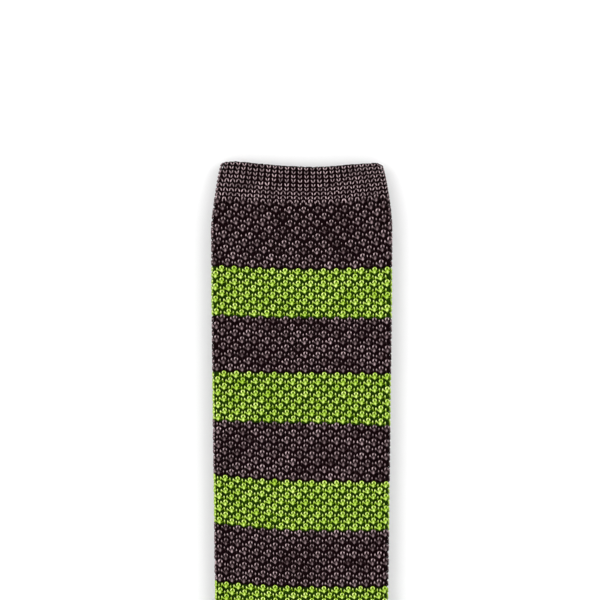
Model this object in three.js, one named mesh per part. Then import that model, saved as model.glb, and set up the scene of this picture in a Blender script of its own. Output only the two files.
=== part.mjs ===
// A knitted tie with square ends: one flat tube of yarn, striped on the front blade, plain at the neck and tail.
// It is folded in four and lies flat, with its wide front end on top, drooping a little past the layers beneath.
// Millimetres. X runs across the tie, +Y is where the front end points, +Z is up, and the bottom layer lies on z = 0.
import * as THREE from "three";

// Fabric
const WALL = 1.3; // one thickness of knitted fabric, loops included
const SLIT = 0.6; // hollow between the front and the back of the flat tube
const LAYER_GAP = 0.4; // air between two folded layers
const BAND_GAP = 0.3; // between a band of one yarn and the next

// Widths of the flat tube
const FRONT_WIDTH = 60; // widest, just past the front hem
const MIDDLE_WIDTH = 50; // where the tie is folded the first time
const NECK_WIDTH = 38;
const TAIL_WIDTH = 42;

// Lengths along the tie
const FRONT_RUN = 351; // top layer, level stretch from the droop to the outer fold
const NECK_SETBACK = 5.4; // centre of the neck fold, behind the start of the droop
const TAIL_SETBACK = 2; // edge of the tail, behind the start of the droop
const CURL = { length: 8, turn: 24 }; // the front edge turns down, degrees
const LEAD = { length: 22, turn: 14 }; // and this stretch eases it back to level
const HEM_LENGTH = 12; // plain knitted band at each end
const FIRST_BROWN_LENGTH = 23.5; // between the front hem and the first green stripe
const GREEN_LENGTH = 16.3;
const BROWN_LENGTH = 18.9;
const GREEN_STRIPES = 17;
const TAIL_BLADE_LENGTH = 420; // the wider stretch behind the tail hem

// Ends of the tube
const CORNER_RADIUS = 1.7; // rounded corners of a square end
const END_DRAW_IN = 3; // how far each side is pulled in at the hem
const DRAW_IN_LENGTH = 22; // and over what length it eases out
const RIM_ROUND = 0.6; // rounding of the turned edge through the fabric
const EAR = 1.6; // how far the corners stand past the middle of the edge
const EDGE_SKEW = 0.6; // how much less the right corner stands out than the left

// Facets
const TURN_STEP = 15; // degrees between sections round a fold
const ROUND_SEGMENTS = 2; // facets round a quarter of each side edge
const HEM_SECTIONS = [0, 0.35, 1, 2.8].map((share) => share * CORNER_RADIUS);

const THICKNESS = 2 * WALL + SLIT;
const LAYER_PITCH = THICKNESS + LAYER_GAP;
const radians = THREE.MathUtils.degToRad;

// The way the tie lies, seen from +X, from the front edge to the tail edge. A positive turn is anticlockwise.
const ROUTE = [
  CURL,
  LEAD,
  { length: FRONT_RUN, turn: 0 },
  { length: 1.5 * Math.PI * LAYER_PITCH, turn: 180 }, // outer fold, round the other two layers
  { length: FRONT_RUN - NECK_SETBACK, turn: 0 },
  { length: 0.5 * Math.PI * LAYER_PITCH, turn: 180 }, // neck fold
  { length: FRONT_RUN - NECK_SETBACK, turn: 0 },
  { length: 0.5 * Math.PI * LAYER_PITCH, turn: -180 }, // inner fold
  { length: FRONT_RUN - TAIL_SETBACK, turn: 0 },
];
const TIE_LENGTH = ROUTE.reduce((sum, row) => sum + row.length, 0);

// Where one row of the route is after a length along it
function along(row, length) {
  const curvature = radians(row.turn) / row.length;
  const heading = row.heading + curvature * length;
  if (row.turn === 0)
    return {
      y: row.y + length * Math.cos(heading),
      z: row.z + length * Math.sin(heading),
      heading,
    };
  return {
    y: row.y + (Math.sin(heading) - Math.sin(row.heading)) / curvature,
    z: row.z + (Math.cos(row.heading) - Math.cos(heading)) / curvature,
    heading,
  };
}

// Each row starts where the one before it ends, and the first so that the top layer runs level towards -Y
function laidOut() {
  const rows = [];
  let at = { s: 0, y: 0, z: 0, heading: Math.PI - radians(CURL.turn + LEAD.turn) };
  for (const row of ROUTE) {
    const placed = { ...row, ...at };
    rows.push(placed);
    at = { s: at.s + row.length, ...along(placed, row.length) };
  }
  const underRun = rows[4];
  const drop = underRun.z - THICKNESS / 2;
  return rows.map((row) => ({ ...row, z: row.z - drop }));
}
const rows = laidOut();

function centreline(s) {
  const row = rows.findLast((r) => s >= r.s) ?? rows[0];
  return along(row, s - row.s);
}

// Width of the flat tube: its taper, less what the hem draws in and the rounded corners at each end
const UNDER_RUN_START = rows[4].s;
const NECK_START = HEM_LENGTH + FIRST_BROWN_LENGTH + GREEN_STRIPES * (GREEN_LENGTH + BROWN_LENGTH) - BROWN_LENGTH;
const TAIL_HEM_START = TIE_LENGTH - HEM_LENGTH;
const TAIL_START = TAIL_HEM_START - TAIL_BLADE_LENGTH;
const TAPER = [
  { at: DRAW_IN_LENGTH, width: FRONT_WIDTH },
  { at: UNDER_RUN_START, width: MIDDLE_WIDTH },
  { at: rows[5].s, width: NECK_WIDTH },
  { at: TAIL_START, width: NECK_WIDTH },
  { at: TIE_LENGTH - DRAW_IN_LENGTH, width: TAIL_WIDTH },
];

function widthAt(s) {
  const next = TAPER.findIndex((row) => row.at > s);
  let width = TAPER.at(next === 0 ? 0 : -1).width;
  if (next > 0) {
    const [a, b] = [TAPER[next - 1], TAPER[next]];
    width = THREE.MathUtils.mapLinear(s, a.at, b.at, a.width, b.width);
  }
  const fromEnd = Math.max(0, Math.min(s, TIE_LENGTH - s));
  const drawn = fromEnd < DRAW_IN_LENGTH ? END_DRAW_IN * (1 - fromEnd / DRAW_IN_LENGTH) ** 1.5 : 0;
  return width - 2 * drawn - 2 * roundedBy(CORNER_RADIUS, fromEnd);
}

// How much a quarter circle of the radius takes off at a distance from the edge
function roundedBy(radius, distance) {
  if (distance >= radius) return 0;
  return radius - Math.sqrt(radius ** 2 - (radius - distance) ** 2);
}

// The flat tube cut across: a long round-ended outline with a slit in it
function roundEnded(path, width, thickness) {
  const radius = thickness / 2;
  const reach = width / 2 - radius;
  path.moveTo(-reach, -radius);
  for (const share of [-0.5, 0, 0.5]) path.lineTo(share * reach, -radius);
  path.absarc(reach, 0, radius, -Math.PI / 2, Math.PI / 2);
  for (const share of [0.5, 0, -0.5]) path.lineTo(share * reach, radius);
  path.absarc(-reach, 0, radius, Math.PI / 2, (3 * Math.PI) / 2);
  return path;
}

function tubeSection(width) {
  const section = roundEnded(new THREE.Shape(), width, THICKNESS);
  section.holes.push(roundEnded(new THREE.Path(), width - 2 * WALL, SLIT));
  return section;
}

// Every place along the tie where a section is needed: round the folds and where the taper changes
const BENDS = rows.flatMap((row) => {
  const steps = Math.max(1, Math.ceil(Math.abs(row.turn) / TURN_STEP));
  return Array.from({ length: steps }, (_, step) => row.s + (step * row.length) / steps);
});
const HEM_BENDS = HEM_SECTIONS.flatMap((s) => [s, TIE_LENGTH - s]);
const STATIONS = [...BENDS, ...HEM_BENDS, ...TAPER.map((row) => row.at)].sort((a, b) => a - b);
const CLOSEST_STATIONS = 0.4;

function stationsBetween(start, end) {
  const list = [start];
  for (const s of STATIONS)
    if (s - list.at(-1) > CLOSEST_STATIONS && end - s > CLOSEST_STATIONS) list.push(s);
  return [...list, end];
}

// A square end's edge is drawn in at the middle, so points near it lie a little further along the tie
function edgeShift(s, across) {
  const fromFront = 1 - s / HEM_LENGTH;
  if (fromFront <= 0) return 0;
  const hollow = EAR * (1 - Math.abs(across) ** 1.4) + (EDGE_SKEW * (1 + across)) / 2;
  return hollow * fromFront ** 2;
}

// One band of the tube, extruded straight with one step between two stations and then laid along the route
function band(name, start, end, yarn) {
  const stations = stationsBetween(start, end);
  const drawnWidth = widthAt((start + end) / 2);
  const geometry = new THREE.ExtrudeGeometry(tubeSection(drawnWidth), {
    depth: stations.length - 1,
    steps: stations.length - 1,
    curveSegments: ROUND_SEGMENTS,
    bevelEnabled: false,
  });
  const place = geometry.getAttribute("position");
  for (let i = 0; i < place.count; i++) {
    const station = stations[Math.round(place.getZ(i))];
    const across = place.getX(i) / (drawnWidth / 2);
    const s = station + edgeShift(station, across);
    const fromEnd = Math.min(station, TIE_LENGTH - station);
    const flattened = 1 - roundedBy(RIM_ROUND, fromEnd) / (THICKNESS / 2);
    const outward = place.getY(i) * flattened;
    const { y, z, heading } = centreline(s);
    place.setXYZ(
      i,
      (across * widthAt(station)) / 2,
      y + outward * Math.sin(heading),
      z - outward * Math.cos(heading),
    );
  }
  geometry.computeVertexNormals();
  const mesh = new THREE.Mesh(geometry, yarn);
  mesh.name = name;
  return mesh;
}

const brownYarn = new THREE.MeshStandardMaterial({ color: 0x35201f, roughness: 0.62, metalness: 0 });
const greenYarn = new THREE.MeshStandardMaterial({ color: 0x6d9a24, roughness: 0.62, metalness: 0 });

// The bands in order from the front edge to the tail edge
function bandTable() {
  const table = [
    { name: "front_hem", length: HEM_LENGTH, yarn: brownYarn },
    { name: "front_band_01_brown", length: FIRST_BROWN_LENGTH, yarn: brownYarn },
  ];
  for (let stripe = 1; stripe <= GREEN_STRIPES; stripe++) {
    const number = (offset) => String(2 * stripe + offset).padStart(2, "0");
    table.push({ name: `front_band_${number(0)}_green`, length: GREEN_LENGTH, yarn: greenYarn });
    if (stripe < GREEN_STRIPES)
      table.push({ name: `front_band_${number(1)}_brown`, length: BROWN_LENGTH, yarn: brownYarn });
  }
  table.push({ name: "neck_band", length: TAIL_START - NECK_START, yarn: brownYarn });
  table.push({ name: "tail_blade", length: TAIL_BLADE_LENGTH, yarn: brownYarn });
  table.push({ name: "tail_hem", length: HEM_LENGTH, yarn: brownYarn });
  return table;
}

const tie = new THREE.Group();
tie.name = "knit_tie";
let start = 0;
for (const { name, length, yarn } of bandTable()) {
  const end = start + length;
  const trim = (edge) => (edge > 0 && edge < TIE_LENGTH ? BAND_GAP / 2 : 0);
  tie.add(band(name, start + trim(start), end - trim(end), yarn));
  start = end;
}

// The origin is under the middle of the folded tie
const reach = new THREE.Box3().setFromObject(tie);
tie.position.y = -(reach.min.y + reach.max.y) / 2;

export default tie;
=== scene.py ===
# A knitted tie with square ends, folded in four and lying on a white table, seen from straight above.
# Metres. X runs across the tie, +Y is where its wide front end points, +Z is up.
from math import pi, radians

import bpy
import numpy as np
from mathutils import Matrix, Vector


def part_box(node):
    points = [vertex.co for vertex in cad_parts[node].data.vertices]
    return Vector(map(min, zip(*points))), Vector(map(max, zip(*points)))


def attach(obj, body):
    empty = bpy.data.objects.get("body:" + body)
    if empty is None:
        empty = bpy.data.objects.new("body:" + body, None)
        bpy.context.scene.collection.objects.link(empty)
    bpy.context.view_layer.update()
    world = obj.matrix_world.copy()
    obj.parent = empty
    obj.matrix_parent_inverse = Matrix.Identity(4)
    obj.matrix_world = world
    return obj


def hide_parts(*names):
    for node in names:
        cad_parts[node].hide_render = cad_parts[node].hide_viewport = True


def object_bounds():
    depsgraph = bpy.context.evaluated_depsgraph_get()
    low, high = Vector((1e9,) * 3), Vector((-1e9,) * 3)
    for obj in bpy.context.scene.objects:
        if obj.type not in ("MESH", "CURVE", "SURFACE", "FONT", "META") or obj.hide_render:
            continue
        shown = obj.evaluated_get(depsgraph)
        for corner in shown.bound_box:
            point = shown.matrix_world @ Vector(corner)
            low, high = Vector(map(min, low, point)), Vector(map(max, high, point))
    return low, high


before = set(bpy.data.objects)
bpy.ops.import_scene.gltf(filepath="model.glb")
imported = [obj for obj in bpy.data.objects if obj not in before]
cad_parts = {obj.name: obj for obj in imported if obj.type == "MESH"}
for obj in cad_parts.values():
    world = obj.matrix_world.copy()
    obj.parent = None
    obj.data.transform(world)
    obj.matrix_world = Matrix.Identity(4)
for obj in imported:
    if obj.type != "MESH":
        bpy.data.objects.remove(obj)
cad_low, cad_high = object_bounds()
MM = 0.001
draws = np.random.default_rng(29)

# The frame's own sizes
level_low, level_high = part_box("front_band_10_green")
THICKNESS = level_high.z - level_low.z
LAYER_PITCH = (cad_high.z - THICKNESS) / 3

# Lengths along the tie
FRONT_RUN = 351 * MM
NECK_SETBACK = 5.4 * MM
TAIL_SETBACK = 2 * MM
CURL_LENGTH, CURL_TURN = 8 * MM, radians(24)
LEAD_LENGTH, LEAD_TURN = 22 * MM, radians(14)
HEM_LENGTH = 12 * MM
FIRST_BROWN_LENGTH = 23.5 * MM
GREEN_LENGTH = 16.3 * MM
BROWN_LENGTH = 18.9 * MM
GREEN_STRIPES = 17
TAIL_BLADE_LENGTH = 420 * MM

# Widths of the flat tube
FRONT_WIDTH = 60 * MM
MIDDLE_WIDTH = 50 * MM
NECK_WIDTH = 38 * MM
TAIL_WIDTH = 42 * MM
CORNER_RADIUS = 0.7 * MM
END_DRAW_IN = 3 * MM
DRAW_IN_LENGTH = 22 * MM
DRAW_IN_POWER = 1.5

# The knitted fabric: a thin ground with loops of yarn standing on it
LOOP_HEIGHT = 0.7 * MM
LOOP_MIDDLE = 0.35 * MM
GROUND_WALL = 0.6 * MM
GROUND_HALF = THICKNESS / 2 - LOOP_HEIGHT
EDGE_RADIUS = GROUND_HALF + LOOP_MIDDLE  # of the tube's side edges, half way up their loops
FACE_END = 1.7 * MM  # how far past the flat face its stitches still go

# Rows along the tie, and the share of its own row where a tuck stitch stands
HEM_ROWS = 9
FIRST_BROWN_ROWS = 10
STRIPE_ROWS = 8
PLAIN_ROW = 2.3 * MM
ROW_AT = 0.14
TUCK_OVERLAP = 0.9 * MM  # how far the first tuck rows reach into the hem

# The gauge that the stitch tables are drawn for
ROW_GAUGE = 2.2 * MM
PLAIN_GAUGE = 1.4 * MM
WALE_GAUGE = 2.17 * MM

# Wales round the tube. They lean near the front edge, by shares of a wale at lengths along the tie, and
# are spread there towards the middle of the face
WALES = 58
WALE_SHIFT_AT = [0, 75 * MM]
WALE_SHIFT = [-0.8, -0.35]
WALE_SPREAD_AT = [0, 14 * MM, 36 * MM]
WALE_SPREAD = [0.11, 0.13, 0.0]

# How the top layer's sides settle beside the narrower layers under it: how far they hang, and the share
# of the half width that the layers hold up, at the front edge and at the fold
SIDE_DROOP = 1.1 * MM
HELD_UP = [0.62, 0.9]
DROOP_END = 1.2  # where the hang stops growing; 1 is the side edge

# How the rows run, in mm: length along the tie, how far the middle of a row is moved along it,
# and how far its left and right ends are drawn back towards the front edge
ROW_RUN = np.array(
    [
        (0, 2.25, 3.1, 2.4),
        (11.4, 2.95, 1.6, 2.5),
        (21, 2.1, 1.3, 1.8),
        (35.5, 1.15, 1.25, 0.6),
        (51.8, 0.95, 0.9, -0.2),
        (70.7, 0.35, 0.6, -0.4),
        (87, 0.65, 0.8, -1.1),
        (105.9, 1.05, 2.1, -0.4),
        (122.2, 1.2, 2.5, 0.0),
        (141.1, 1.0, 1.8, 0.0),
        (250, 0.3, 0.8, 0.0),
        (345, 0.0, 0.0, 0.0),
    ]
)
BOW_MIDDLE = 0.12  # share of the half width, to the right
BOW_POWER = 1.7

SMALL_FOLD = 0.5 * pi * LAYER_PITCH
LARGE_FOLD = 1.5 * pi * LAYER_PITCH
ROUTE = [
    (CURL_LENGTH, CURL_TURN),
    (LEAD_LENGTH, LEAD_TURN),
    (FRONT_RUN, 0),
    (LARGE_FOLD, pi),
    (FRONT_RUN - NECK_SETBACK, 0),
    (SMALL_FOLD, pi),
    (FRONT_RUN - NECK_SETBACK, 0),
    (SMALL_FOLD, -pi),
    (FRONT_RUN - TAIL_SETBACK, 0),
]
TIE_LENGTH = sum(length for length, turn in ROUTE)


def arc_step(heading, curvature, length):
    """How far along Y and Z a stretch of the route goes from its start."""
    straight = curvature == 0
    bend = np.where(straight, 1, curvature)
    end = heading + curvature * length
    dy = np.where(straight, length * np.cos(heading), (np.sin(end) - np.sin(heading)) / bend)
    dz = np.where(straight, length * np.sin(heading), (np.cos(heading) - np.cos(end)) / bend)
    return dy, dz


def laid_out():
    """The route's rows with where each starts: length so far, Y, Z, heading and curvature."""
    rows, s, y, z = [], 0.0, 0.0, 0.0
    heading = pi - CURL_TURN - LEAD_TURN
    for length, turn in ROUTE:
        curvature = turn / length
        rows.append([s, y, z, heading, curvature])
        dy, dz = arc_step(heading, curvature, length)
        s, y, z, heading = s + length, y + dy, z + dz, heading + turn
    rows = np.array(rows)
    fold_y = cad_low.y + THICKNESS / 2 + 1.5 * LAYER_PITCH
    rows[:, 1] += fold_y - rows[3, 1]
    rows[:, 2] += THICKNESS / 2 - rows[4, 2]
    return rows


ROWS = laid_out()
FOLD_START, UNDER_START, NECK_FOLD, INNER_START, INNER_FOLD = ROWS[3:8, 0]
NECK_START = (
    HEM_LENGTH + FIRST_BROWN_LENGTH + GREEN_STRIPES * (GREEN_LENGTH + BROWN_LENGTH) - BROWN_LENGTH
)
TAIL_HEM_START = TIE_LENGTH - HEM_LENGTH
TAIL_START = TAIL_HEM_START - TAIL_BLADE_LENGTH
OUTSIDE_END = NECK_FOLD + SMALL_FOLD + NECK_SETBACK


def centreline(s):
    """Y, Z and heading of the middle of the fabric at lengths along the tie."""
    index = np.clip(np.searchsorted(ROWS[:, 0], s, side="right") - 1, 0, len(ROWS) - 1)
    start, y, z, heading, curvature = np.moveaxis(ROWS[index], -1, 0)
    dy, dz = arc_step(heading, curvature, s - start)
    return y + dy, z + dz, heading + curvature * (s - start)


def rounded_by(radius, distance):
    """What a quarter circle of the radius takes off at a distance from the edge."""
    inside = np.clip(radius - distance, 0, radius)
    return radius - np.sqrt(radius**2 - inside**2)


# The flat width at lengths along the tie, its loops included
TAPER = np.array(
    [
        (DRAW_IN_LENGTH, FRONT_WIDTH + 0.6 * MM),
        (45 * MM, 60.4 * MM),
        (135 * MM, 58.1 * MM),
        (UNDER_START, MIDDLE_WIDTH),
        (NECK_FOLD, NECK_WIDTH),
        (TAIL_START, NECK_WIDTH),
        (TIE_LENGTH - DRAW_IN_LENGTH, TAIL_WIDTH),
    ]
)


def width_at(s):
    """The flat width, drawn in and with small rounded corners at both ends of the tie."""
    from_end = np.clip(np.minimum(s, TIE_LENGTH - s), 0, None)
    drawn = END_DRAW_IN * np.clip(1 - from_end / DRAW_IN_LENGTH, 0, 1) ** DRAW_IN_POWER
    corner = rounded_by(CORNER_RADIUS, from_end)
    return np.interp(s, TAPER[:, 0], TAPER[:, 1]) - 2 * drawn - 2 * corner


def along_shift(s, across):
    """How far the rows bow along the tie: hollow at the front edge, uneven in the stripes."""
    at = ROW_RUN[:, 0] * MM
    middle, left, right = (np.interp(s, at, ROW_RUN[:, column] * MM) for column in (1, 2, 3))
    beside = across - BOW_MIDDLE
    reach = np.abs(beside) / (1 - np.sign(beside) * BOW_MIDDLE)
    return middle - np.where(beside < 0, left, right) * reach**BOW_POWER


def settled(s, x, half):
    """How far the sides of the top layer hang below its middle."""
    under_half = np.interp(s, [0, FOLD_START], HELD_UP) * half
    out = np.clip((np.abs(x) - under_half) / (half - under_half), 0, DROOP_END)
    fade = np.clip(1 - s / FOLD_START, 0, 1)
    return -SIDE_DROOP * fade * out**2


def flat_end(s):
    """Length round the tube from the front's middle to where its side edge starts to turn."""
    return width_at(s) / 2 - LOOP_HEIGHT - GROUND_HALF


def girth(s):
    """Length round the tube, half way up its loops."""
    return 4 * flat_end(s) + 2 * pi * EDGE_RADIUS


def place(s, c, h):
    """Points of the fabric: s along it, c round the tube from its front's middle, h above its ground."""
    half = width_at(s) / 2 - LOOP_HEIGHT
    flat = half - GROUND_HALF
    reach = np.abs(c)
    turn = np.clip((reach - flat) / EDGE_RADIUS, 0, pi)
    back = np.clip(reach - flat - pi * EDGE_RADIUS, 0, None)
    x = np.minimum(reach, flat) - back + (GROUND_HALF + h) * np.sin(turn)
    x = x * np.sign(c)
    outward = (GROUND_HALF + h) * np.cos(turn)
    y, z, heading = centreline(s + along_shift(s, np.clip(x / half, -1, 1)))
    outward = outward + settled(s, x, half)
    return np.stack([x, y + outward * np.sin(heading), z - outward * np.cos(heading)], axis=-1)


# Meshes from arrays

TIP_LENGTH = 0.7  # of a closed strand's end, in its radii


def mesh_piece(name, points, faces, corner_uv, measures):
    """A smooth mesh of triangles, with a UV for each corner and named measures of each point."""
    mesh = bpy.data.meshes.new(name)
    mesh.vertices.add(len(points))
    mesh.vertices.foreach_set("co", points.astype(np.float32).ravel())
    mesh.loops.add(faces.size)
    mesh.loops.foreach_set("vertex_index", faces.astype(np.int32).ravel())
    mesh.polygons.add(len(faces))
    mesh.polygons.foreach_set("loop_start", np.arange(0, faces.size, 3, dtype=np.int32))
    mesh.update(calc_edges=True)
    mesh.polygons.foreach_set("use_smooth", np.ones(len(faces), dtype=bool))
    layer = mesh.uv_layers.new(name="strand")
    layer.uv.foreach_set("vector", corner_uv.astype(np.float32).ravel())
    for measure, values in measures.items():
        attribute = mesh.attributes.new(measure, "FLOAT", "POINT")
        attribute.data.foreach_set("value", values.astype(np.float32).ravel())
    piece = bpy.data.objects.new(name, mesh)
    bpy.context.collection.objects.link(piece)
    return piece


def strand(rows, sides, tips=(True, True)):
    """A round strand through rows of a stitch table: vertices with their share of painted highlight,
    triangles, corner UVs.
    """
    rows = np.array(rows, float)
    points, radii, painted_highlight = rows[:, :3], rows[:, 3], rows[:, 4]
    along = np.gradient(points, axis=0)
    along /= np.linalg.norm(along, axis=1, keepdims=True)
    beside = np.cross(along, [0, 0, 1])
    beside /= np.linalg.norm(beside, axis=1, keepdims=True)
    above = np.cross(beside, along)
    angle = 2 * pi * np.arange(sides) / sides - pi / 2
    ring = beside[:, None] * np.cos(angle)[:, None] + above[:, None] * np.sin(angle)[:, None]
    vertices = (points[:, None] + ring * radii[:, None, None]).reshape(-1, 3)
    vertices = np.column_stack([vertices, np.repeat(painted_highlight, sides)])
    gone = np.concatenate([[0], np.cumsum(np.linalg.norm(np.diff(points, axis=0), axis=1))])
    triangles, uv = [], []
    for step in range(len(points) - 1):
        for side in range(sides):
            a, b = step * sides + side, step * sides + (side + 1) % sides
            low, high, left, right = gone[step], gone[step + 1], side / sides, (side + 1) / sides
            triangles += [(a, b, b + sides), (a, b + sides, a + sides)]
            uv += [(low, left), (low, right), (high, right), (low, left), (high, right), (high, left)]
    for end, wanted in zip((0, -1), tips):
        if not wanted:
            continue
        outwards = along[end] * (-1 if end == 0 else 1)
        tip_point = points[end] + outwards * radii[end] * TIP_LENGTH
        vertices = np.vstack([vertices, [*tip_point, painted_highlight[end]]])
        first = 0 if end == 0 else (len(points) - 1) * sides
        tip = len(vertices) - 1
        for side in range(sides):
            a, b = first + side, first + (side + 1) % sides
            triangles.append((tip, b, a) if end == 0 else (tip, a, b))
            uv += [(gone[end], side / sides)] * 3
    return vertices, np.array(triangles), np.array(uv).reshape(-1, 3, 2)


def bundle(*strands):
    """Several strands as one stitch."""
    vertices, triangles, uv, offset = [], [], [], 0
    for strand_vertices, strand_triangles, strand_uv in strands:
        vertices.append(strand_vertices)
        triangles.append(strand_triangles + offset)
        uv.append(strand_uv)
        offset += len(strand_vertices)
    return np.vstack(vertices), np.vstack(triangles), np.vstack(uv)


# The stitches: rows of x across the tie, y towards its front edge, z above the ground and radius, all in
# mm, and then the share of painted highlight there, from 0 low in the fabric to 1 where the strand catches
# the lights

RING = [
    (-0.34, -0.50, 0.30, 0.22, 0.20),
    (-0.58, -0.12, 0.42, 0.26, 0.55),
    (-0.52, 0.34, 0.46, 0.27, 1.05),
    (-0.22, 0.66, 0.42, 0.25, 0.45),
    (0.22, 0.66, 0.42, 0.25, 0.35),
    (0.52, 0.34, 0.45, 0.26, 0.95),
    (0.58, -0.12, 0.40, 0.25, 0.35),
    (0.34, -0.50, 0.28, 0.21, 0.10),
]
BASE = [
    (0.00, 0.20, 0.02, 0.28, 0.00),
    (-0.05, -0.80, 0.20, 0.56, 0.60),
    (-0.08, -1.20, 0.20, 0.50, 0.70),
    (0.00, -1.64, 0.06, 0.24, 0.00),
]
LEFT_ARM = [
    (-0.26, -1.06, 0.30, 0.36, 0.50),
    (-0.78, -0.88, 0.26, 0.32, 0.40),
    (-1.20, -0.62, 0.28, 0.27, 0.45),
    (-1.50, -0.36, 0.30, 0.22, 0.60),
]
RIGHT_ARM = [
    (0.26, -1.04, 0.16, 0.30, 0.10),
    (0.80, -0.90, 0.00, 0.26, 0.00),
    (1.24, -0.64, 0.02, 0.22, 0.00),
    (1.52, -0.40, 0.14, 0.18, 0.10),
]
LEFT_LEG = [
    (-1.78, -1.48, 0.12, 0.22, 0.00),
    (-1.65, -0.90, 0.18, 0.25, 0.00),
    (-1.61, -0.30, 0.46, 0.23, 1.15),
    (-1.60, 0.02, 0.32, 0.17, 0.50),
]
RIGHT_LEG = [
    (1.78, -1.48, 0.12, 0.22, 0.00),
    (1.65, -0.92, 0.16, 0.24, 0.00),
    (1.61, -0.32, 0.43, 0.22, 1.05),
    (1.60, 0.00, 0.30, 0.16, 0.45),
]
LEG = [
    (0.29, -0.50, 0.18, 0.18, 0.20),
    (0.40, -0.26, 0.40, 0.23, 0.95),
    (0.60, 0.14, 0.40, 0.23, 0.85),
    (0.74, 0.48, 0.14, 0.17, 0.05),
]
HALF_HOOP = [
    (0.30, 0.30, 0.42, 0.24, 0.85),
    (0.50, -0.12, 0.40, 0.23, 0.80),
    (0.72, -0.46, 0.14, 0.17, 0.05),
]
HOOP_MIDDLE = (0.00, 0.44, 0.36, 0.22, 0.40)
CROWN = [
    (-0.34, 0.34, 0.28, 0.19, 0.40),
    (0.00, 0.50, 0.38, 0.22, 0.65),
    (0.34, 0.34, 0.28, 0.19, 0.40),
]
RIM_STRAND = [
    (-1.05, 0.0, 0.00, 0.20, 0.0),
    (-0.45, 0.0, 0.03, 0.21, 0.2),
    (0.45, 0.0, 0.03, 0.21, 0.2),
    (1.05, 0.0, 0.00, 0.20, 0.0),
]
LINK = [
    (-0.95, 1.30, 0.10, 0.24, 0.1),
    (-0.35, 0.62, 0.38, 0.28, 0.9),
    (0.30, -0.50, 0.40, 0.28, 0.7),
    (0.95, -1.25, 0.10, 0.24, 0.1),
]
BEAD = [
    (0.78, 0.62, 0.20, 0.18, 0.1),
    (0.98, 0.10, 0.40, 0.26, 1.1),
    (0.80, -0.42, 0.20, 0.18, 0.1),
]


def thinned(rows):
    """Every other row of a stitch table, and its last one."""
    return rows[:-1:2] + rows[-1:]


def tuck_stitch(rows_of, sides, arm_sides, legs):
    """A round loop over a fat base, with arms that run low to the wales beside it, and its legs."""
    return bundle(
        strand(rows_of(RING), sides, tips=(False, False)),
        strand(rows_of(BASE), sides + 1),
        strand(rows_of(LEFT_ARM), arm_sides, tips=(False, True)),
        strand(rows_of(RIGHT_ARM), arm_sides, tips=(False, True)),
        *(strand(rows_of(leg), arm_sides, tips=(False, True)) for leg in legs),
    )


def standing_hoop(sides):
    """A strand of plain knitting that arches towards the front edge."""
    left = [(-x, *rest) for x, *rest in HALF_HOOP[::-1]]
    return strand(left + [HOOP_MIDDLE] + HALF_HOOP, sides, tips=(False, False))


def two_legs(sides):
    """The two legs of a plain stitch, which don't meet."""
    legs = [[(side * x, *rest) for x, *rest in LEG] for side in (-1, 1)]
    return bundle(*(strand(leg, sides, tips=(True, False)) for leg in legs))


FINE_TUCK = tuck_stitch(list, 5, 4, [LEFT_LEG, RIGHT_LEG])
COARSE_TUCK = tuck_stitch(thinned, 3, 3, [])
STANDING = standing_hoop(5)
TWO_LEGS = two_legs(5)
HANGING_END = strand([(x, -y, *rest) for x, y, *rest in CROWN], 5, tips=(False, False))
STANDING_END = strand(CROWN, 5, tips=(False, False))
RIM = strand(RIM_STRAND, 5)
FINE_EDGE = bundle(strand(LINK, 5), strand(BEAD, 5))
COARSE_EDGE = strand(thinned(LINK), 4)

# How uneven the knitting is: each stitch's place, in mm, its turn in radians, its size and the strength of
# its painted highlight
LENGTH_JITTER = 0.05
TURN_JITTER = 0.09
SIZE_JITTER = 0.045
HIGHLIGHT_JITTER = 0.1
HIGHLIGHT_RANGE = (0.3, 1.7)


def knitted_in(stitch, at, row_pitch):
    """Copies of a stitch at pairs of length along and length round, bent to the fabric, a little uneven."""
    vertices, triangles, corner_uv = stitch
    count = len(at)
    turn = draws.normal(0, TURN_JITTER, (count, 1))
    size = 1 + draws.normal(0, SIZE_JITTER, (count, 1))
    nudge = draws.normal(0, LENGTH_JITTER, (count, 2, 1))
    highlight_strength = np.clip(1 + draws.normal(0, HIGHLIGHT_JITTER, (count, 1)), *HIGHLIGHT_RANGE)
    x, y, z, painted_highlight = vertices.T[:, None]
    across = (x * np.cos(turn) - y * np.sin(turn)) * size + nudge[:, 0]
    forward = (x * np.sin(turn) + y * np.cos(turn)) * size + nudge[:, 1]
    wale_scale = girth(at[:, :1]) / WALES / WALE_GAUGE
    s = at[:, :1] - forward * MM * row_pitch / ROW_GAUGE
    c = at[:, 1:] + across * MM * wale_scale
    points = place(s, c, z * MM * np.ones_like(s)).reshape(-1, 3)
    offsets = np.arange(count)[:, None, None] * len(vertices)
    faces = (triangles + offsets).reshape(-1, 3)
    uv = np.tile(corner_uv.reshape(-1, 2), (count, 1))
    lift = np.tile(z.ravel() * MM / LOOP_HEIGHT, count)
    return points, faces, uv, lift, (highlight_strength * painted_highlight).ravel()


def joined(name, parts):
    """One mesh piece from several sets of stitches."""
    offset, shifted = 0, []
    for points, faces, *rest in parts:
        shifted.append((points, faces + offset, *rest))
        offset += len(points)
    points, faces, uv, lift, painted_highlight = (np.concatenate(column) for column in zip(*shifted))
    return mesh_piece(name, points, faces, uv, {"lift": lift, "painted_highlight": painted_highlight})


# Where stitches go


def wale_places(s, every=1, first=0.0):
    """Lengths round the tube of the middle of each wale, counted from the front's middle."""
    shift = first + np.interp(s, WALE_SHIFT_AT, WALE_SHIFT)
    share = (np.arange(-WALES // 2, WALES // 2, every) + shift) / (WALES / 2)
    share = (share + 1) % 2 - 1
    spread = np.interp(s, WALE_SPREAD_AT, WALE_SPREAD)
    return share * (1 + spread * (1 - np.abs(share))) * girth(s) / 2


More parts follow.
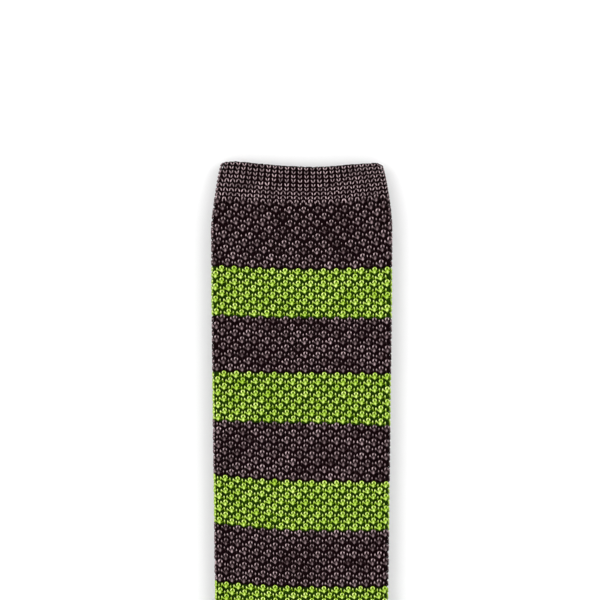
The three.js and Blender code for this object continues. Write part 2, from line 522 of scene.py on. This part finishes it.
def tuck_stitches(start, length, rows, first_row):
    """Tuck stitches on the outer face: every other wale, and the wales between in the next row."""
    pitch = length / rows
    places = []
    for row in range(rows):
        s = start + (row + ROW_AT) * pitch
        around = wale_places(s, every=2, first=(first_row + row) % 2)
        around = around[np.abs(around) < flat_end(s) + FACE_END]
        places.append(np.column_stack([np.full(len(around), s), around]))
    at = np.vstack(places)
    at = at[at[:, 0] < OUTSIDE_END]
    top = at[:, 0] < UNDER_START
    parts = []
    for chosen, stitch in ((top, FINE_TUCK), (~top, COARSE_TUCK)):
        if chosen.any():
            parts.append(knitted_in(stitch, at[chosen], pitch))
    return parts


def edge_stitches(start, length, rows):
    """The chain of links down both side edges."""
    pitch = length / rows
    s = start + (np.arange(rows) + 0.5) * pitch
    side = flat_end(s) + 0.5 * pi * EDGE_RADIUS
    at = np.concatenate([np.column_stack([s, -side]), np.column_stack([s, side])])
    stitch = FINE_EDGE if start < FOLD_START else COARSE_EDGE
    return [knitted_in(stitch, at, pitch)]


# The row where plain stitches change from hanging U's to standing ones, at shares across the half width
CHANGE_AT = (-1, -0.8, -0.5, 0.1, 0.4, 0.7, 1)
CHANGE_ROW = (3, 3.5, 5, 5.6, 3.8, 0.6, 0)


def plain_stitches(start, length, rows, rim_at):
    """Plain rows of a hem, and the strands over its turned edge."""
    pitch = length / rows
    s = np.repeat(start + (np.arange(rows) + 0.5) * pitch, WALES)
    row = np.repeat(np.arange(rows), WALES)
    if rim_at > start:
        row = rows - 1 - row
    kinds = []
    for first in (0.5, 0.0):
        around = np.concatenate([wale_places(each, first=first) for each in s[::WALES]])
        late = row - np.interp(around / (width_at(s) / 2), CHANGE_AT, CHANGE_ROW)
        kinds.append((np.column_stack([s, around]), late))
    (between, late), (on_wale, late_on_wale) = kinds
    last, odd = row == rows - 1, np.arange(len(s)) % 2 == 1
    row_pitch = pitch * ROW_GAUGE / PLAIN_GAUGE
    rim = wale_places(rim_at)
    rim = np.column_stack([np.full(len(rim), rim_at), rim])
    return [
        knitted_in(TWO_LEGS, between[~last], row_pitch),
        knitted_in(HANGING_END, between[(late < 0) & ~last], row_pitch),
        knitted_in(STANDING_END, on_wale[(late_on_wale >= 0) & ~last], row_pitch),
        knitted_in(STANDING, on_wale[last & ~odd], row_pitch),
        knitted_in(RIM, rim, ROW_GAUGE),
    ]


# The ground fabric

FOLD_STEP = radians(15)
LEVEL_STEP = 3 * MM
ROUND_STEPS = 5
FLAT_STEPS = 8
CLEAR_OF_ENDS = 0.3 * MM
WELD_DISTANCE = 0.01 * MM


def stations_between(start, end):
    """Lengths along the tie that the ground has a ring of points at: close together round the folds."""
    steps = []
    for (length, turn), row_start in zip(ROUTE, ROWS[:, 0]):
        count = max(int(abs(turn) / FOLD_STEP), int(length / LEVEL_STEP), 1)
        steps.append(row_start + length * np.arange(count) / count)
    steps = np.concatenate(steps)
    inside = steps[(steps > start + CLEAR_OF_ENDS) & (steps < end - CLEAR_OF_ENDS)]
    return np.concatenate([[start], inside, [end]])


def ring_shares():
    """Shares of the way round the tube: few on the flat faces and more round the side edges."""
    flat_share, round_share = 0.235, 0.03
    quarter = np.concatenate(
        [
            np.linspace(0, flat_share, FLAT_STEPS // 2, endpoint=False),
            np.linspace(flat_share, flat_share + round_share, ROUND_STEPS, endpoint=False),
            np.linspace(flat_share + round_share, 0.5, FLAT_STEPS // 2, endpoint=False),
        ]
    )
    return np.concatenate([quarter - 0.5, quarter, [0.5]])


def ground_tube(name, start, end, finish):
    """A flat sheet of ground fabric, wrapped into a tube, laid along the route and given its wall."""
    shares, stations = ring_shares(), stations_between(start, end)
    bpy.ops.object.select_all(action="DESELECT")
    bpy.ops.mesh.primitive_grid_add(
        x_subdivisions=len(shares) - 1, y_subdivisions=len(stations) - 1, size=1
    )
    piece = bpy.context.object
    piece.name = piece.data.name = name
    flat = np.empty(len(piece.data.vertices) * 3)
    piece.data.vertices.foreach_get("co", flat)
    flat = flat.reshape(-1, 3)
    column = np.rint((flat[:, 0] + 0.5) * (len(shares) - 1)).astype(int)
    line = np.rint((flat[:, 1] + 0.5) * (len(stations) - 1)).astype(int)
    s = stations[line]
    points = place(s, shares[column] * girth(s), np.zeros_like(s))
    piece.data.vertices.foreach_set("co", points.ravel())
    piece.data.update()
    bpy.ops.object.mode_set(mode="EDIT")
    bpy.ops.mesh.select_all(action="SELECT")
    bpy.ops.mesh.remove_doubles(threshold=WELD_DISTANCE)
    bpy.ops.mesh.normals_make_consistent(inside=False)
    bpy.ops.object.mode_set(mode="OBJECT")
    wall = piece.modifiers.new("wall", "SOLIDIFY")
    wall.thickness = GROUND_WALL
    wall.offset = -1
    bpy.ops.object.modifier_apply(modifier=wall.name)
    bpy.ops.object.shade_smooth()
    piece.data.materials.append(finish)
    return piece


# Finishes


class Wire:
    """A value in a material, which Python's own operators work on."""

    def __init__(self, finish, socket):
        self.finish, self.socket = finish, socket

    def maths(self, operation, other=0.0, swapped=False):
        pair = (other, self) if swapped else (self, other)
        return self.finish.add("ShaderNodeMath", {"operation": operation}, dict(enumerate(pair)))

    def __add__(self, other):
        return self.maths("ADD", other)

    def __sub__(self, other):
        return self.maths("SUBTRACT", other)

    def __rsub__(self, other):
        return self.maths("SUBTRACT", other, swapped=True)

    def __mul__(self, other):
        return self.maths("MULTIPLY", other)

    __radd__, __rmul__ = __add__, __mul__


class Finish:
    """A material under construction."""

    def __init__(self, name):
        self.material = bpy.data.materials.new(name)
        self.material.use_nodes = True
        self.tree = self.material.node_tree
        self.tree.nodes.clear()

    def add(self, kind, settings=None, inputs=None, output=0):
        """One node: its settings first, then the values or links of its sockets."""
        node = self.tree.nodes.new(kind)
        for key, value in (settings or {}).items():
            setattr(node, key, value)
        for key, value in (inputs or {}).items():
            if isinstance(value, Wire):
                self.tree.links.new(value.socket, node.inputs[key])
            else:
                node.inputs[key].default_value = value
        return Wire(self, node.outputs[output]) if node.outputs else node

    def blend(self, share, first, second):
        """A colour between two colours."""
        inputs = {0: share, 6: first, 7: second}
        inputs = {
            key: (*value, 1) if isinstance(value, tuple) else value for key, value in inputs.items()
        }
        return self.add("ShaderNodeMix", {"data_type": "RGBA"}, inputs, output=2)

    def noise(self, where, scale, detail=2.0):
        return self.add("ShaderNodeTexNoise", {}, {"Vector": where, "Scale": scale, "Detail": detail})

    def done(self, **shader):
        inputs = {key.replace("_", " "): value for key, value in shader.items()}
        surface = self.add("ShaderNodeBsdfPrincipled", {}, inputs)
        self.add("ShaderNodeOutputMaterial", {}, {"Surface": surface})
        return self.material


def linear(red, green, blue):
    """A colour given as it looks on a screen, 0 to 255."""
    share = np.array([red, green, blue]) / 255
    return tuple(np.where(share <= 0.04045, share / 12.92, ((share + 0.055) / 1.055) ** 2.4))


PLY_LENGTH = 0.55  # mm along the yarn
PLIES = 2
FIBRE_SCALE = 9000
PATCH_SCALE = 260


def yarn_finish(name, shade_colour, body, highlight_colour, highlight_level, contrast, gloss, gloss_tint):
    """Twisted silk yarn: painted shade darkens it low in the fabric, a painted highlight pales its crest,
    with winding plies.
    """
    yarn = Finish(name)
    where = yarn.add("ShaderNodeTexCoord", output="Object")
    strand_uv = yarn.add("ShaderNodeUVMap", {"uv_map": "strand"})
    parts = yarn.add("ShaderNodeSeparateXYZ", {}, {0: strand_uv}).socket.node
    along, around = Wire(yarn, parts.outputs[0]), Wire(yarn, parts.outputs[1])
    lift = yarn.add("ShaderNodeAttribute", {"attribute_name": "lift"}, output="Fac")
    twist = ((along * (1 / PLY_LENGTH) + around * PLIES) * (2 * pi)).maths("SINE")
    fibres = yarn.noise(where, FIBRE_SCALE)
    patches = yarn.noise(where, PATCH_SCALE)
    painted_highlight = yarn.add("ShaderNodeAttribute", {"attribute_name": "painted_highlight"}, output="Fac")
    raised = yarn.add("ShaderNodeMapRange", {}, {"Value": lift, "From Min": 0.1, "From Max": 0.8})
    crest = (1 - (around - 0.5).maths("ABSOLUTE") * 2.4).maths("MAXIMUM", 0.0)
    # Painted shade: the yarn turns to the shade colour the lower it lies in the fabric
    colour = yarn.blend(raised * (0.7 + fibres * 0.3), shade_colour, body)
    # Painted highlight: the strand's crest pales towards the highlight colour where the stitch tables put a
    # highlight
    highlight_strength = (painted_highlight * crest * (highlight_level + patches * 0.7)).maths("POWER", contrast) + twist * 0.03
    colour = yarn.blend(highlight_strength.maths("MAXIMUM", 0.0).maths("MINIMUM", 1.0), colour, highlight_colour)
    relief = twist * 0.6 + fibres * 0.5
    bump = yarn.add("ShaderNodeBump", {}, {"Strength": 0.3, "Distance": 0.05 * MM, "Height": relief})
    return yarn.done(
        Base_Color=colour,
        Roughness=0.27 + fibres * 0.12,
        Normal=bump,
        IOR=1.5,
        Specular_IOR_Level=gloss,
        Specular_Tint=(*gloss_tint, 1),
    )


def shaded_ground_finish(name, shade_colour, body):
    """The backs of the loops, far down between them: painted very dark as the shade there, darkest in the
    hollows of the knitting's own relief.
    """
    ground = Finish(name)
    where = ground.add("ShaderNodeTexCoord", output="Object")
    cells = ground.add(
        "ShaderNodeTexVoronoi", {"feature": "F1"}, {"Vector": where, "Scale": 700.0}
    )
    fibres = ground.noise(where, 6000)
    colour = ground.blend(cells * 0.8 + fibres * 0.2, body, shade_colour)
    bump = ground.add(
        "ShaderNodeBump", {}, {"Strength": 0.8, "Distance": 0.3 * MM, "Height": 1 - cells}
    )
    return ground.done(Base_Color=colour, Roughness=0.9, Normal=bump, Specular_IOR_Level=0.05)


# Each yarn: a painted shade colour low in the fabric, its own body colour, a painted highlight colour on
# crests, and its real gloss
BROWN_YARN = yarn_finish(
    "brown silk yarn",
    shade_colour=linear(10, 0, 1),
    body=linear(25, 2, 5),
    highlight_colour=linear(210, 184, 188),
    highlight_level=0.7,
    contrast=2.5,
    gloss=0.06,
    gloss_tint=(1, 0.72, 0.76),
)
GREEN_YARN = yarn_finish(
    "green silk yarn",
    shade_colour=linear(34, 64, 0),
    body=linear(144, 190, 0),
    highlight_colour=linear(242, 255, 160),
    highlight_level=0.72,
    contrast=1.9,
    gloss=0.16,
    gloss_tint=(0.9, 1, 0.2),
)
# The grounds are painted shade: far darker than the yarns, darkest in the hollows of their relief
BROWN_SHADED_GROUND = shaded_ground_finish("brown ground", linear(6, 0, 1), linear(20, 4, 7))
GREEN_SHADED_GROUND = shaded_ground_finish("green ground", linear(8, 22, 0), linear(34, 62, 0))


# The tie's bands, from the front edge to the tail edge


def bands():
    """Each band's node, where it starts and ends, its stitches and whether its yarn is green."""
    table = [("front_hem", HEM_LENGTH, HEM_ROWS, False)]
    table.append(("front_band_01_brown", FIRST_BROWN_LENGTH, FIRST_BROWN_ROWS, False))
    for stripe in range(1, GREEN_STRIPES + 1):
        table.append((f"front_band_{2 * stripe:02d}_green", GREEN_LENGTH, STRIPE_ROWS, True))
        if stripe < GREEN_STRIPES:
            table.append((f"front_band_{2 * stripe + 1:02d}_brown", BROWN_LENGTH, STRIPE_ROWS, False))
    neck_length = TAIL_START - NECK_START
    table.append(("neck_band", neck_length, round(neck_length / PLAIN_ROW), False))
    table.append(("tail_blade", TAIL_BLADE_LENGTH, round(TAIL_BLADE_LENGTH / PLAIN_ROW), False))
    table.append(("tail_hem", HEM_LENGTH, HEM_ROWS, False))
    return table


# Where the turned edge of each hem lies along the tie
RIMS = {"front_hem": 0.0, "tail_hem": TIE_LENGTH}


def knit_the_tie():
    """The ground and the loops of each band, one band after the other along the tie."""
    start, row_count = 0.0, 1
    for node, length, rows, green in bands():
        end = start + length
        if node in RIMS:
            parts = plain_stitches(start, length, rows, RIMS[node])
            parts += edge_stitches(start, length, rows)
        else:
            parts = edge_stitches(start, length, rows)
            if start < OUTSIDE_END:
                overlap = TUCK_OVERLAP if start == HEM_LENGTH else 0
                parts += tuck_stitches(start - overlap, length + overlap, rows, row_count)
            row_count += rows
        loops = joined(node + "_loops", parts)
        loops.data.materials.append(GREEN_YARN if green else BROWN_YARN)
        ground = ground_tube(node + "_ground", start, end, GREEN_SHADED_GROUND if green else BROWN_SHADED_GROUND)
        for piece in (ground, loops):
            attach(piece, "root")
        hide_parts(node)
        flat = (float(girth((start + end) / 2)), length)
        start = end


# The table, the light and the camera

PHOTO_PIXELS = 600
PIXEL = 0.3315 * MM
TIP_PIXEL_Y = 161
TIE_PIXEL_X = 301.7
CAMERA_HEIGHT = 0.9
SENSOR = 36.0
FAR_CLIP = 50
TABLE_SIZE = 4.0
TABLE_DROP = 0.05 * MM
LIT_MIDDLE = (0, 0.1, 0)


def put_table():
    bpy.ops.object.select_all(action="DESELECT")
    bpy.ops.mesh.primitive_plane_add(size=TABLE_SIZE, location=(0, 0, -TABLE_DROP))
    table = bpy.context.object
    table.name = "table"
    white = Finish("white table")
    table.data.materials.append(
        white.done(Base_Color=(0.9, 0.9, 0.9, 1), Roughness=0.9, Specular_IOR_Level=0.1)
    )


def put_camera():
    camera = bpy.data.objects.new("camera", bpy.data.cameras.new("camera"))
    bpy.context.collection.objects.link(camera)
    frame_size = PHOTO_PIXELS * PIXEL
    camera.data.sensor_width = SENSOR
    camera.data.lens = SENSOR * CAMERA_HEIGHT / frame_size
    camera.data.clip_end = FAR_CLIP
    centre_y = cad_high.y - (PHOTO_PIXELS / 2 - TIP_PIXEL_Y) * PIXEL
    centre_x = (PHOTO_PIXELS / 2 - TIE_PIXEL_X) * PIXEL
    camera.location = (centre_x, centre_y, cad_high.z + CAMERA_HEIGHT)
    bpy.context.scene.camera = camera


def softbox(name, place_at, size, power):
    lamp = bpy.data.objects.new(name, bpy.data.lights.new(name, "AREA"))
    lamp.data.shape = "RECTANGLE"
    lamp.data.size, lamp.data.size_y = size
    lamp.data.energy = power
    lamp.location = place_at
    lamp.rotation_euler = (Vector(LIT_MIDDLE) - Vector(place_at)).to_track_quat("-Z", "Y").to_euler()
    bpy.context.collection.objects.link(lamp)


def put_lights():
    softbox("left softbox", (-0.8, 0.22, 1.08), (0.8, 1.2), 9.3)
    softbox("right softbox", (0.8, 0.22, 1.08), (0.8, 1.2), 8.8)
    softbox("low softbox", (0, -0.7, 1.12), (1.4, 0.8), 8)
    softbox("high softbox", (0, 0.9, 1.12), (0.8, 0.8), 4)
    world = bpy.data.worlds.new("studio")
    world.use_nodes = True
    world.node_tree.nodes["Background"].inputs[0].default_value = (1, 1, 1, 1)
    world.node_tree.nodes["Background"].inputs[1].default_value = 0.3
    bpy.context.scene.world = world
    bpy.context.scene.view_settings.view_transform = "Standard"


put_camera()
put_table()
put_lights()
knit_the_tie()
